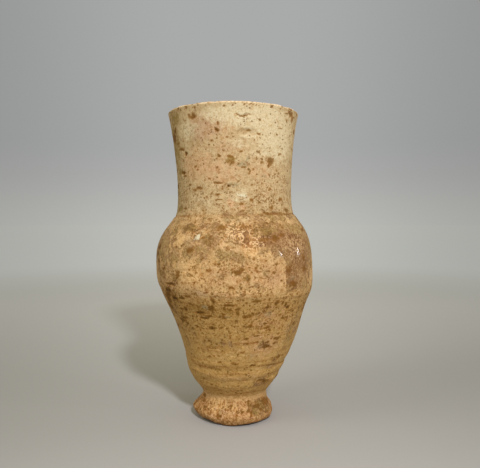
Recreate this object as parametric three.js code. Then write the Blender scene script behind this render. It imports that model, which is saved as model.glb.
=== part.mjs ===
import * as THREE from "three";
import { toCreasedNormals } from "three/addons/utils/BufferGeometryUtils.js";

// A wheel-thrown terracotta vase: a tall flaring neck, a round shoulder, a tapering body and a small button foot.
// The potter threw it in four sections, let them stiffen, and luted them together with slip along bevelled
// seams: foot, lower body, shoulder and neck.
// Millimetres, +Z up, with the origin at the middle of the foot's flat underside.

// Height of each section, between the outer edges of its seams
const FOOT_HEIGHT = 13.6;
const LOWER_BODY_HEIGHT = 60;
const SHOULDER_HEIGHT = 41.4;
const NECK_HEIGHT = 57.8;

// Outer radii, from the table up
const BASE_RADIUS = 19.6;
const FOOT_RADIUS = 22.7;
const WAIST_RADIUS = 18.2;
const TAPER_RADIUS = 24.9;
const CARINATION_RADIUS = 43.1;
const BELLY_RADIUS = 44.5;
const COLLAR_RADIUS = 33.9;
const THROAT_RADIUS = 32.2;
const RIM_RADIUS = 36.7;

// Where the widest and narrowest places lie, each above the lower end of its own section
const FOOT_EDGE_RISE = 4.7;
const TAPER_RISE = 10.3;
const BELLY_RISE = 13.4;
const THROAT_RISE = 14.8;

// Wall thickness, measured level, and the clay under the hollow
const RIM_WALL = 4.6;
const NECK_WALL = 4.8;
const BODY_WALL = 5.4;
const TAPER_WALL = 7.2;
const FLOOR_THICKNESS = 8.5;
const LIP_HEIGHT = 1.4;

// Each seam slopes down towards the inside, so that the upper section sits in the lower one
const SEAM_DROP = 2;

// The collar's seam was pressed in all round with the edge of a rib
const GROOVE_DEPTH = 0.8;
const GROOVE_WIDTH = 1.8;

// Hand work: how far each section wanders off the wheel's axis, towards +X, the right as seen from the front
const FOOT_WANDER = -0.9;
const LOWER_BODY_WANDER = 1.6;
const SHOULDER_WANDER = -0.4;
const RIM_WANDER = -0.8;

// The sections were set on a little askew: how much higher each seam, and the lip, stands on the right
const CARINATION_TILT = -4.2;
const COLLAR_TILT = 1.2;
const LIP_TILT = -0.3;

// Finger grooves run in one spiral up the inside. Outside they were smoothed away, except above the foot.
const INSIDE_PITCH = 13;
const INSIDE_DEPTH = 0.7;
const OUTSIDE_PITCH = 7;
const OUTSIDE_DEPTH = 0.6;
const OUTSIDE_FIRST_GROOVE = 12.3;
const OUTSIDE_GROOVES_FROM = 7;
const OUTSIDE_GROOVES_TO = 25;

// The foot was pinched out between finger and thumb, which left its edge wavy
const BROAD_PINCHES = 3;
const NARROW_PINCHES = 7;
const PINCH_DEPTH = 0.6;

// Facets round the wheel's axis, and the height over which a surface settles to true before a seam
const SEGMENTS = 54;
const SETTLING = 5;

const CLAY = {
  foot: { color: 0xc79a66, roughness: 0.92, metalness: 0 },
  lower_body: { color: 0xb89362, roughness: 0.9, metalness: 0 },
  shoulder: { color: 0xb1854f, roughness: 0.78, metalness: 0 },
  neck: { color: 0xc2a77c, roughness: 0.9, metalness: 0 },
};

const FULL_TURN = 2 * Math.PI;
const CREASE_ANGLE = THREE.MathUtils.degToRad(32);

const waistHeight = FOOT_HEIGHT;
const carinationHeight = waistHeight + LOWER_BODY_HEIGHT;
const collarHeight = carinationHeight + SHOULDER_HEIGHT;
const rimHeight = collarHeight + NECK_HEIGHT;
const dishHeight = waistHeight - SEAM_DROP;
const floorHeight = dishHeight + FLOOR_THICKNESS;

// A station is a place on the outline. The clay leaves it along its slope, the radius gained per height, and
// holds that slope for a share of the way to the next station: below downwards, above upwards.
const footEdge = {
  radius: FOOT_RADIUS,
  height: FOOT_EDGE_RISE,
  slope: 0,
  above: 0.2,
};
const waist = {
  radius: WAIST_RADIUS,
  height: waistHeight,
  slope: 0,
  tilt: 0,
  below: 0.5,
  above: 0.25,
};
const taper = {
  radius: TAPER_RADIUS,
  height: waistHeight + TAPER_RISE,
  wall: TAPER_WALL,
  slope: 0.58,
  below: 0.44,
  above: 0.14,
};
const carination = {
  radius: CARINATION_RADIUS,
  height: carinationHeight,
  wall: BODY_WALL,
  slope: 0.43,
  tilt: CARINATION_TILT,
  below: 0.5,
  above: 0.29,
};
const belly = {
  radius: BELLY_RADIUS,
  height: carinationHeight + BELLY_RISE,
  wall: BODY_WALL,
  slope: 0,
  below: 0.42,
  above: 0.55,
};
const collar = {
  radius: COLLAR_RADIUS,
  height: collarHeight,
  wall: NECK_WALL,
  slope: -0.71,
  tilt: COLLAR_TILT,
  below: 0.32,
  above: 0.14,
};
const throat = {
  radius: THROAT_RADIUS,
  height: collarHeight + THROAT_RISE,
  wall: NECK_WALL,
  slope: 0,
  below: 0.59,
  above: 0.22,
};
const rim = {
  radius: RIM_RADIUS,
  height: rimHeight - LIP_HEIGHT,
  wall: RIM_WALL,
  slope: 0.26,
  tilt: LIP_TILT,
  below: 0.24,
};

const point = (station) => new THREE.Vector2(station.radius, station.height);

// The same station on the inside of the wall, lower down where it is a seam's inner edge
function inside(station, drop = 0) {
  return { ...station, radius: station.radius - station.wall, height: station.height - drop };
}

// A station a little way along the slope from another
function along(station, rise) {
  return { ...station, radius: station.radius + station.slope * rise, height: station.height + rise };
}

// The curve between two stations, upwards or downwards, as points with the first left out
function stretch(from, to, steps) {
  const rise = to.height - from.height;
  const leaving = along(from, rise * (rise > 0 ? from.above : from.below));
  const arriving = along(to, -rise * (rise > 0 ? to.below : to.above));
  const curve = new THREE.CubicBezierCurve(point(from), point(leaving), point(arriving), point(to));
  return curve.getPoints(steps).slice(1);
}

// Points of an outline, each marked with the skin of the wall that it lies on
function skin(name, points) {
  return points.map((p) => ({ radius: p.x, height: p.y, skin: name }));
}

// 1 between two heights, settling to 0 at each of them
function between(height, low, high) {
  const { smoothstep } = THREE.MathUtils;
  return smoothstep(height, low, low + SETTLING) * (1 - smoothstep(height, high - SETTLING, high));
}

// 1 along the bottom of a groove that climbs by one pitch with each turn, and 0 on the ridge between its turns
function spiral(rise, turn, pitch) {
  return 0.5 + 0.5 * Math.cos(FULL_TURN * (rise / pitch - turn));
}

// 0 at two heights and 1 half way between them
function bow(height, low, high) {
  return Math.sin(Math.PI * THREE.MathUtils.clamp((height - low) / (high - low), 0, 1)) ** 2;
}

function fingerGrooves(place, turn, low, high) {
  return INSIDE_DEPTH * spiral(place.height, turn, INSIDE_PITCH) * between(place.height, low, high);
}

// How far a place is raised in a section that leans one way at its lower end and another way at its upper end.
// Across both faces of a seam the lean is the same, so that they stay face to face.
function askew(place, turn, lower, upper) {
  const { lerp, smoothstep } = THREE.MathUtils;
  const share = smoothstep(place.height, lower.height, upper.height - SEAM_DROP);
  const lean = lerp(lower.tilt / lower.radius, upper.tilt / upper.radius, share) / 2;
  return lean * place.radius * Math.sin(FULL_TURN * turn);
}

// A section is its outline turned on the wheel and then moved by hand: out is the radius that a point gains,
// across how far it moves towards +X and up how far it is raised. All three are nothing at a seam.
function thrown(name, outline, handWork) {
  const profile = outline.map(point);
  const lathed = new THREE.LatheGeometry(profile, SEGMENTS);
  const position = lathed.getAttribute("position");
  for (let i = 0; i < position.count; i++) {
    const place = outline[i % outline.length];
    const turn = (Math.floor(i / outline.length) % SEGMENTS) / SEGMENTS;
    const { out = 0, across = 0, up = 0 } = handWork(place, turn);
    const radius = place.radius > 0 ? place.radius + out : 0;
    position.setXYZ(
      i,
      radius * Math.sin(FULL_TURN * turn) + across,
      -radius * Math.cos(FULL_TURN * turn),
      place.height + up,
    );
  }
  lathed.deleteAttribute("uv");
  const geometry = toCreasedNormals(lathed, CREASE_ANGLE);
  const mesh = new THREE.Mesh(geometry, new THREE.MeshStandardMaterial(CLAY[name]));
  mesh.name = name;
  return mesh;
}

// Button foot: flat underside, rounded wavy edge, and a dished top that takes the body's rounded bottom
function makeFoot() {
  const lowerEdge = new THREE.EllipseCurve(
    BASE_RADIUS,
    FOOT_EDGE_RISE,
    FOOT_RADIUS - BASE_RADIUS,
    FOOT_EDGE_RISE,
    -Math.PI / 2,
    0,
  );
  const outline = [
    { radius: 0, height: 0 },
    ...skin("outer", [...lowerEdge.getPoints(4), ...stretch(footEdge, waist, 7)]),
    { radius: 0, height: dishHeight },
  ];
  return thrown("foot", outline, (place, turn) => {
    const pinch =
      Math.sin(FULL_TURN * BROAD_PINCHES * turn) + Math.sin(FULL_TURN * NARROW_PINCHES * turn);
    const pinched = place.skin === "outer" ? between(place.height, -SETTLING, waistHeight) : 0;
    return {
      out: (PINCH_DEPTH / 2) * pinch * pinched,
      across: FOOT_WANDER * bow(place.height, 0, dishHeight),
    };
  });
}

// Lower body: solid at the waist, opening into a cone up to the carination
function makeLowerBody() {
  const wellEdge = inside(taper);
  const well = new THREE.CubicBezierCurve(
    point(wellEdge),
    point(along(wellEdge, (floorHeight - wellEdge.height) / 2)),
    new THREE.Vector2(wellEdge.radius / 2, floorHeight),
    new THREE.Vector2(0, floorHeight),
  );
  const seamEdge = inside(carination, SEAM_DROP);
  const outline = [
    { radius: 0, height: dishHeight },
    ...skin("outer", [point(waist), ...stretch(waist, taper, 9), ...stretch(taper, carination, 20)]),
    ...skin("inner", [point(seamEdge), ...stretch(seamEdge, wellEdge, 14), ...well.getPoints(6).slice(1)]),
  ];
  return thrown("lower_body", outline, (place, turn) => {
    const rise = place.height - waistHeight;
    const grooved = between(rise, OUTSIDE_GROOVES_FROM, OUTSIDE_GROOVES_TO);
    return {
      out:
        place.skin === "inner"
          ? fingerGrooves(place, turn, floorHeight, seamEdge.height)
          : -OUTSIDE_DEPTH * spiral(rise - OUTSIDE_FIRST_GROOVE, turn, OUTSIDE_PITCH) * grooved,
      across: LOWER_BODY_WANDER * bow(place.height, taper.height, seamEdge.height),
      up: askew(place, turn, waist, carination),
    };
  });
}

// The bottom of the groove at the collar, where the shoulder and the neck meet
const collarSeam = { radius: collar.radius - GROOVE_DEPTH, height: collar.height };

// Shoulder: a round belly above the carination, drawn in to the collar
function makeShoulder() {
  const lowerEdge = inside(carination, SEAM_DROP);
  const upperEdge = inside(collar, SEAM_DROP);
  const grooveEdge = along(collar, -GROOVE_WIDTH / 2);
  const outline = [
    ...skin("outer", [
      point(carination),
      ...stretch(carination, belly, 4),
      ...stretch(belly, grooveEdge, 9),
      point(collarSeam),
    ]),
    ...skin("inner", [
      point(upperEdge),
      ...stretch(upperEdge, inside(belly), 8),
      ...stretch(inside(belly), lowerEdge, 5),
    ]),
    { radius: carination.radius, height: carination.height },
  ];
  return thrown("shoulder", outline, (place, turn) => ({
    out: place.skin === "inner" ? fingerGrooves(place, turn, carination.height, upperEdge.height) : 0,
    across: SHOULDER_WANDER * bow(place.height, carination.height, upperEdge.height),
    up: askew(place, turn, carination, collar),
  }));
}

// Neck: narrowest at the throat, flaring to a plain rounded lip
function makeNeck() {
  const lowerEdge = inside(collar, SEAM_DROP);
  const grooveEdge = along(collar, GROOVE_WIDTH / 2);
  const lip = new THREE.EllipseCurve(
    rim.radius - rim.wall / 2,
    rim.height,
    rim.wall / 2,
    LIP_HEIGHT,
    0,
    Math.PI,
  );
  const outline = [
    ...skin("outer", [
      point(collarSeam),
      point(grooveEdge),
      ...stretch(grooveEdge, throat, 5),
      ...stretch(throat, rim, 9),
      ...lip.getPoints(6).slice(1, -1),
    ]),
    ...skin("inner", [
      point(inside(rim)),
      ...stretch(inside(rim), inside(throat), 12),
      ...stretch(inside(throat), lowerEdge, 5),
    ]),
    { radius: collarSeam.radius, height: collarSeam.height },
  ];
  return thrown("neck", outline, (place, turn) => ({
    out: place.skin === "inner" ? fingerGrooves(place, turn, collar.height, rim.height) : 0,
    across: RIM_WANDER * THREE.MathUtils.smoothstep(place.height, collar.height, rim.height),
    up: askew(place, turn, collar, rim),
  }));
}

const vase = new THREE.Group();
vase.name = "vase";
vase.add(makeFoot(), makeLowerBody(), makeShoulder(), makeNeck());

export default vase;
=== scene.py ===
"""A wheel-thrown earthenware vase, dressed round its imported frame.

Its four thrown sections carry the marks of the wheel, of the potter's fingers and of long burial: grooves,
pits, a thin brown wash, stains, olive specks and lime scale. Sizes are in millimetres until a mesh is
finished, and those of the camera, the lamps and the table are in metres.
"""

import math
import random
from collections import namedtuple

import bmesh
import bpy
import numpy as np
from mathutils import Matrix, Vector, noise
from mathutils.geometry import interpolate_bezier


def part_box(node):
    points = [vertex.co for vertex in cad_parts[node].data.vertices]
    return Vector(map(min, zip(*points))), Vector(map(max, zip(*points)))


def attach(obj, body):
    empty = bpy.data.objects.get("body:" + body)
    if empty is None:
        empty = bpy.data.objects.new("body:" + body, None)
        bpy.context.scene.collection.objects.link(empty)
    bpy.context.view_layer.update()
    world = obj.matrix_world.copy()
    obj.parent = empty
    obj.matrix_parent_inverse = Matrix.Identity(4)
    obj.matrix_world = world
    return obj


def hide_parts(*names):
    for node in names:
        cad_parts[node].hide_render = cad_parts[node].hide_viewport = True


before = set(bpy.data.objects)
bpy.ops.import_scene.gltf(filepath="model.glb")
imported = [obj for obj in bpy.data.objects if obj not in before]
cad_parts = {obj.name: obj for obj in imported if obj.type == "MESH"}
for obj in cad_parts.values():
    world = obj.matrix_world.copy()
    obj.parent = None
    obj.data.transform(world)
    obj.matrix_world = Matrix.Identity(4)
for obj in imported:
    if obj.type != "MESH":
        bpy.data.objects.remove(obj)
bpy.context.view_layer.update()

MM = 0.001

# Steps of a full turn, and the wedges that it is built up from
SEGMENTS = 480
WEDGES = 16

# The seed of every draw and of the noise on the meshes, and how far one seed more moves a noise
SEED = 7
MESH_SEED_STEP = 31.7
CLAY_SEED_STEP = 13.7

# Spacing of the rings that a surface is turned from
FINE = 0.55
MEDIUM = 1.0
COARSE = 1.6

# Points that a curve is worked out at before they are spaced evenly
LONG_CURVE = 200
SHORT_CURVE = 60

# Points nearer than this are one, and an edge that turns by more than this angle is sharp
MERGED_WITHIN = 1e-4
SHARP_ANGLE = 60

# Skins of the wall, as numbers on each vertex
OUTSIDE, INSIDE, UNDERSIDE = 0, 1, 2

# Azimuth 0 is the middle of the front, and azimuths grow towards +X, the right as seen from there
FRONT = 62
IN_FRONT = (-FRONT, FRONT)
BEHIND = (FRONT, 360 - FRONT)
ALL_ROUND = (0, 360)


def top_of(node):
    """Height of a section's highest point in the frame."""
    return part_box(node)[1].z / MM


# How much higher each seam, and the lip, stands on the right than on the left
CARINATION_TILT = -4.2
COLLAR_TILT = 1.2
LIP_TILT = -0.3

# How far the middle of each section, and the rim, stand off the wheel's axis, towards +X
FOOT_WANDER = -0.9
LOWER_BODY_WANDER = 1.6
SHOULDER_WANDER = -0.4
RIM_WANDER = -0.8

WAIST_HEIGHT = top_of("foot")
CARINATION_HEIGHT = top_of("lower_body") - abs(CARINATION_TILT) / 2
COLLAR_HEIGHT = top_of("shoulder") - abs(COLLAR_TILT) / 2
RIM_HEIGHT = top_of("neck") - abs(LIP_TILT) / 2
SEAM_DROP = 2.0
DISH_HEIGHT = WAIST_HEIGHT - SEAM_DROP
FLOOR_THICKNESS = 8.5
FLOOR_HEIGHT = DISH_HEIGHT + FLOOR_THICKNESS
BASE_RADIUS = 19.6

# Finger grooves in the outside of the cone's foot, the ridge between two of them, and the scored line above
GROOVE_PITCH = 7.0
FIRST_GROOVE = 25.9
RIDGE_HEIGHT = 28.8
SCORED_HEIGHT = 34.9

# Finger grooves inside the wall
INSIDE_PITCH = 13.0
INSIDE_DEPTH = 0.7

# Pinches round the foot, and how its edge is lifted or pressed down: azimuth, half width, lift
BROAD_PINCHES = 3
NARROW_PINCHES = 7
FOOT_LIFTS = [(-45, 7, 0.9), (20, 7, 0.5), (-10, 6, -0.5)]

# A station is a place on the outline. The clay leaves it along its slope, the radius gained per height, and
# holds that slope for a share of the way to the next station: below downwards, above upwards.
Station = namedtuple("Station", "radius height slope below above wall", defaults=(0, 0, 0, 0))

FOOT_EDGE = Station(22.7, 4.7, above=0.2)
WAIST = Station(18.2, WAIST_HEIGHT, below=0.5, above=0.25)
TAPER = Station(24.9, WAIST_HEIGHT + 10.3, 0.58, 0.44, 0.14, wall=7.2)
CARINATION = Station(43.1, CARINATION_HEIGHT, 0.43, 0.5, 0.29, wall=5.4)
BELLY = Station(44.5, CARINATION_HEIGHT + 13.4, 0, 0.42, 0.55, wall=5.4)
COLLAR = Station(33.9, COLLAR_HEIGHT, -0.71, 0.32, 0.14, wall=4.8)
THROAT = Station(32.2, COLLAR_HEIGHT + 14.8, 0, 0.59, 0.22, wall=4.8)
RIM = Station(36.7, RIM_HEIGHT - 1.4, 0.26, 0.24, wall=4.6)
LIP_HEIGHT = RIM_HEIGHT - RIM.height


def inside(station, drop=0):
    """The same station on the inside of the wall."""
    return station._replace(radius=station.radius - station.wall, height=station.height - drop)


def profile_point(radius, height):
    """A point of the outline in the plane where it is turned from, at the front."""
    return Vector((0, -radius, height))


def evenly(points, spacing):
    """The same line with its points about that far apart, and its first point left out."""
    lengths = [(b - a).length for a, b in zip(points, points[1:])]
    travelled = np.concatenate([[0], np.cumsum(lengths)])
    count = max(1, round(travelled[-1] / spacing))
    wanted = np.linspace(0, travelled[-1], count + 1)[1:]
    axes = [np.interp(wanted, travelled, [p[i] for p in points]) for i in range(3)]
    return [Vector(p) for p in zip(*axes)]


def stretch(start, end, spacing):
    """The curve between two stations, upwards or downwards, with its first point left out."""
    rise = end.height - start.height
    leaving = rise * (start.above if rise > 0 else start.below)
    arriving = rise * (end.below if rise > 0 else end.above)
    curve = interpolate_bezier(
        profile_point(start.radius, start.height),
        profile_point(start.radius + start.slope * leaving, start.height + leaving),
        profile_point(end.radius - end.slope * arriving, end.height - arriving),
        profile_point(end.radius, end.height),
        LONG_CURVE,
    )
    return evenly(curve, spacing)


def through(spacing, *stations):
    """The outline through some stations, from the first to the last."""
    line = [profile_point(stations[0].radius, stations[0].height)]
    for start, end in zip(stations, stations[1:]):
        line += stretch(start, end, spacing)
    return line


def rounded(radius, height, across, tall, start, end):
    """Part of an ellipse of the outline, between two angles in degrees, with its first point left out."""
    angles = np.radians(np.linspace(start, end, SHORT_CURVE))
    curve = [profile_point(radius + across * math.cos(a), height + tall * math.sin(a)) for a in angles]
    return evenly(curve, FINE)


def foot_outline():
    """Flat underside, rounded edge and dished top, from axis to axis."""
    middle = profile_point(0, 0)
    underside = evenly([middle, profile_point(BASE_RADIUS, 0)], MEDIUM)
    tall = FOOT_EDGE.height
    edge = rounded(BASE_RADIUS, tall, FOOT_EDGE.radius - BASE_RADIUS, tall, -90, 0)
    return [
        (UNDERSIDE, [middle, *underside]),
        (OUTSIDE, [*edge, *stretch(FOOT_EDGE, WAIST, FINE), profile_point(0, DISH_HEIGHT)]),
    ]


def lower_body_outline():
    """Dished bottom, the cone up to the carination, and the hollow with its floor."""
    well_edge = inside(TAPER)
    half_way = (FLOOR_HEIGHT - well_edge.height) / 2
    well = interpolate_bezier(
        profile_point(well_edge.radius, well_edge.height),
        profile_point(well_edge.radius + well_edge.slope * half_way, well_edge.height + half_way),
        profile_point(well_edge.radius / 2, FLOOR_HEIGHT),
        profile_point(0, FLOOR_HEIGHT),
        SHORT_CURVE,
    )
    wall = through(COARSE, inside(CARINATION, SEAM_DROP), well_edge)
    return [
        (OUTSIDE, [profile_point(0, DISH_HEIGHT), *through(FINE, WAIST, TAPER, CARINATION)]),
        (INSIDE, [*wall, *evenly(well, COARSE)]),
    ]


def shoulder_outline():
    """The round belly, drawn in to the collar, with a seam's face at each end."""
    upper_edge = inside(COLLAR, SEAM_DROP)
    lower_edge = inside(CARINATION, SEAM_DROP)
    return [
        (OUTSIDE, through(FINE, CARINATION, BELLY, COLLAR)),
        (INSIDE, through(COARSE, upper_edge, inside(BELLY), lower_edge)),
    ]


def neck_outline():
    """The neck, narrowest at the throat and flaring to a rounded lip."""
    lip = rounded(RIM.radius - RIM.wall / 2, RIM.height, RIM.wall / 2, LIP_HEIGHT, 0, 180)
    return [
        (OUTSIDE, [*through(FINE, COLLAR, THROAT, RIM), *lip[:-1]]),
        (INSIDE, through(COARSE, inside(RIM), inside(THROAT), inside(COLLAR, SEAM_DROP))),
    ]


def turned(name, outline):
    """A section turned from its outline, with the skin kept on each vertex.

    The outline closes on itself or on the wheel's axis. One wedge is spun, and then doubled until it goes
    all the way round.
    """
    bm = bmesh.new()
    skin = bm.verts.layers.int.new("skin")
    verts = []
    for side, points in outline:
        for point in points:
            vert = bm.verts.new(point)
            vert[skin] = side
            verts.append(vert)
    edges = [bm.edges.new(pair) for pair in zip(verts, verts[1:])]
    if verts[0].co.y < 0:
        edges.append(bm.edges.new((verts[-1], verts[0])))
    about_axis = {"cent": (0, 0, 0), "axis": (0, 0, 1)}
    wedge = math.tau / WEDGES
    bmesh.ops.spin(bm, geom=verts + edges, angle=wedge, steps=SEGMENTS // WEDGES, **about_axis)
    while wedge < math.pi * 1.5:
        copied = bmesh.ops.duplicate(bm, geom=bm.verts[:] + bm.edges[:] + bm.faces[:])["geom"]
        turning = [g for g in copied if isinstance(g, bmesh.types.BMVert)]
        bmesh.ops.rotate(bm, verts=turning, cent=(0, 0, 0), matrix=Matrix.Rotation(wedge, 3, "Z"))
        wedge *= 2
    bmesh.ops.remove_doubles(bm, verts=bm.verts, dist=MERGED_WITHIN)
    bmesh.ops.recalc_face_normals(bm, faces=bm.faces)
    mesh = bpy.data.meshes.new(name)
    bm.to_mesh(mesh)
    bm.free()
    return mesh


def smoothstep(value, low, high):
    """0 below low, 1 above high, and a smooth rise between them. High may be the lower of the two."""
    share = np.clip((value - low) / (high - low), 0, 1)
    return share * share * (3 - 2 * share)


def bow(height, low, high):
    """0 at two heights and 1 half way between them."""
    return np.sin(math.pi * np.clip((height - low) / (high - low), 0, 1)) ** 2


def between(height, low, high, settling):
    """1 between two heights, settling to 0 beyond each of them."""
    return smoothstep(height, low - settling, low) * smoothstep(height, high + settling, high)


# More than a ragged edge moves a mark up or down
RAGGED_MARGIN = 3


class Surface:
    """Every place on a turned section, before the hand has touched it."""

    def __init__(self, mesh):
        count = len(mesh.vertices)
        flat = np.zeros(count * 3)
        mesh.vertices.foreach_get("co", flat)
        skin = np.zeros(count, dtype=np.int32)
        mesh.attributes["skin"].data.foreach_get("value", skin)
        self.points = flat.reshape(-1, 3)
        self.radius = np.hypot(self.points[:, 0], self.points[:, 1])
        self.height = self.points[:, 2]
        self.azimuth = np.degrees(np.arctan2(self.points[:, 0], -self.points[:, 1]))
        self.outside = skin == OUTSIDE
        self.inside = skin == INSIDE
        self.underside = skin == UNDERSIDE

        # How far the lean of the sections raises each place, and the height at which it then stands
        self.raised = lean(self.height) * self.points[:, 0]
        self.stands = self.height + self.raised
        self.by_height = np.argsort(self.stands)
        self.heights = self.stands[self.by_height]

        # What makes the edges of marks ragged
        self.ragged_across = 0.9 * self.lumps(2.6, 1) + 0.5 * self.lumps(1.1, 2)
        self.ragged_up = 0.6 * self.lumps(2.6, 3) + 0.35 * self.lumps(1.1, 4)

    def lumps(self, size, seed, stretched=(1, 1, 1)):
        """Smooth noise from about -1 to 1, with lumps of that size, longer by the factors given."""
        placed = self.points / (np.array(stretched) * size) + MESH_SEED_STEP * (seed + SEED)
        return np.array([noise.noise(p) for p in placed.tolist()])

    def level_lumps(self, tall, wide, seed):
        """Lumps drawn out level round the wheel's axis."""
        return self.lumps(tall, seed, (wide / tall, wide / tall, 1))

    def across_from(self, azimuth, near=slice(None)):
        """Distance round the section from an azimuth."""
        turned_away = (self.azimuth[near] - azimuth + 180) % 360 - 180
        return np.radians(turned_away) * np.maximum(self.radius[near], 1)

    def spots(self, marks, ragged=1.0, core=0.5, reach=1.5):
        """1 within any of the marks and 0 well outside them, with an edge that the clay makes ragged.

        A mark is its azimuth, height, half width, half height and strength.
        """
        found = np.zeros(len(self.height))
        for azimuth, height, half_width, half_height, strength in marks:
            margin = reach * half_height + RAGGED_MARGIN
            span = np.searchsorted(self.heights, [height - margin, height + margin])
            near = self.by_height[slice(*span)]
            across = self.across_from(azimuth, near)
            across += ragged * min(2, half_width) * self.ragged_across[near]
            up = self.stands[near] - height + ragged * min(2, half_height) * self.ragged_up[near]
            away = np.hypot(across / half_width, up / half_height)
            found[near] = np.maximum(found[near], strength * smoothstep(away, reach, core))
        return found

    def zones(self, marks):
        """Like spots, for wide areas that fade out."""
        return self.spots(marks, 1.0, 0.2, 1.8)


def scattered(draw, count, low, high, small, large, around=BEHIND, strength=1.0, flat=0.6):
    """Marks strewn over the part of the vase between two heights and two azimuths."""
    marks = []
    for _ in range(count):
        half_width = small * (large / small) ** draw.random()
        azimuth = draw.uniform(*around)
        height = draw.uniform(low, high)
        half_height = half_width * draw.uniform(flat, 1)
        marks.append((azimuth, height, half_width, half_height, strength * draw.uniform(0.75, 1.1)))
    return marks


# Marks placed one by one: azimuth, height, half width, half height, strength. Those behind are guesses.
NECK_STAINS = [
    (-36, 166, 2.3, 1.3, 0.95),
    (-40, 166.6, 0.9, 0.8, 0.9),
    (-15, 158.5, 1.3, 0.8, 1.0),
    (-13, 161.5, 0.6, 1.0, 0.8),
    (-50, 147.5, 1.3, 0.8, 1.1),
    (-13.6, 145, 1.1, 0.9, 0.95),
    (-3.4, 144.9, 1.6, 0.6, 0.8),
    (-1.4, 142.6, 1.6, 1.4, 0.42),
    (34.6, 143.0, 2.3, 1.9, 0.98),
    (33, 140.6, 0.8, 0.8, 1.0),
    (25, 142, 1.2, 1.1, 0.95),
    (-57, 137.6, 2.3, 0.7, 1.1),
    (-54, 136, 2.2, 0.6, 0.8),
    (-37.5, 140.3, 0.9, 0.6, 0.9),
    (-16.5, 131.5, 1.9, 0.4, 1.1),
    (-5.7, 130, 0.5, 0.5, 1.3),
    (-34, 129.2, 2.4, 0.9, 1.0),
    (-40, 128.3, 1.6, 0.5, 0.8),
    (-23, 133.8, 0.7, 0.5, 0.85),
    (34.5, 136, 0.9, 0.6, 0.9),
    (35.5, 128.6, 0.9, 0.6, 0.85),
    (-15.5, 125.7, 1.0, 0.5, 0.95),
    (-13.5, 123, 0.9, 0.4, 0.85),
    (12.8, 158, 1.0, 0.6, 0.8),
    (22.5, 156.4, 1.3, 0.6, 0.85),
    (22.3, 163.6, 0.7, 0.5, 0.9),
    (42, 157.2, 0.9, 0.5, 0.95),
    (45, 160.4, 2.0, 0.4, 0.7),
    (53, 165, 1.0, 0.7, 0.85),
    (52, 168.5, 1.3, 0.5, 0.75),
    (46.5, 147.2, 1.2, 0.7, 0.85),
    (59, 169, 2.3, 1.1, 0.95),
    (62, 166.5, 1.2, 1.9, 0.85),
    (-6, 154.7, 0.9, 0.5, 0.9),
    (-19, 153, 0.8, 0.5, 0.8),
    (6, 147.4, 0.9, 0.6, 0.85),
    (49, 123.5, 1.1, 0.9, 0.85),
    (16.5, 122.8, 1.0, 0.9, 0.85),
    (6, 120.6, 0.9, 0.6, 0.9),
    (-54, 118.7, 1.3, 0.6, 0.85),
    (58, 117.2, 2.6, 1.0, 0.95),
    (30, 115.8, 1.5, 0.8, 0.9),
    (36, 119, 1.7, 0.9, 0.75),
    (39, 121.6, 0.8, 1.0, 0.75),
    (-75, 157.5, 4.5, 2.4, 0.95),
    (-56, 150.2, 2.2, 0.6, 0.75),
    (-62, 153.4, 1.6, 0.5, 0.8),
    (-47, 131, 1.2, 0.6, 0.7),
    (9, 139.5, 1.6, 0.5, 0.75),
    (43, 138.6, 0.8, 0.5, 0.75),
    (22, 131.6, 0.9, 0.4, 0.7),
    (14, 136.2, 0.7, 0.4, 0.75),
]
SHOULDER_STAINS = [
    (-31, 97.3, 1.7, 1.2, 0.95),
    (-28, 99, 0.9, 0.6, 0.8),
    (-9.5, 108.6, 2.4, 1.5, 0.6),
    (8.5, 109, 3.0, 1.7, 0.6),
    (21, 102.4, 3.4, 0.9, 0.7),
    (30, 103.5, 2.0, 1.6, 0.85),
    (36, 104.6, 1.5, 0.9, 0.8),
    (55, 86.6, 2.2, 1.6, 0.85),
    (56, 92.4, 1.8, 1.4, 0.8),
    (39, 86.8, 2.0, 1.6, 0.7),
    (43, 79.6, 3.4, 1.2, 0.75),
    (2, 86.7, 2.0, 1.1, 0.85),
    (6, 88, 1.9, 1.1, 0.85),
    (-2.5, 79, 1.3, 0.7, 0.95),
    (14, 88.4, 0.9, 1.3, 0.85),
    (27, 86.2, 1.2, 0.9, 0.8),
    (29, 90.5, 1.6, 0.5, 0.7),
    (-50, 79, 4.2, 0.8, 1.1),
    (-55, 75.6, 3.0, 1.1, 1.1),
    (-41, 84.5, 1.5, 2.0, 0.8),
    (-57, 86.8, 2.3, 0.7, 0.8),
    (-30.5, 87.6, 0.8, 0.6, 0.85),
    (-25, 86.2, 0.7, 0.5, 0.8),
    (-16, 87.6, 1.6, 0.8, 0.7),
    (-11, 90.6, 1.3, 0.8, 0.65),
    (68, 107, 2.6, 0.7, 0.8),
    (71, 99, 1.4, 3.0, 0.9),
]
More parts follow.
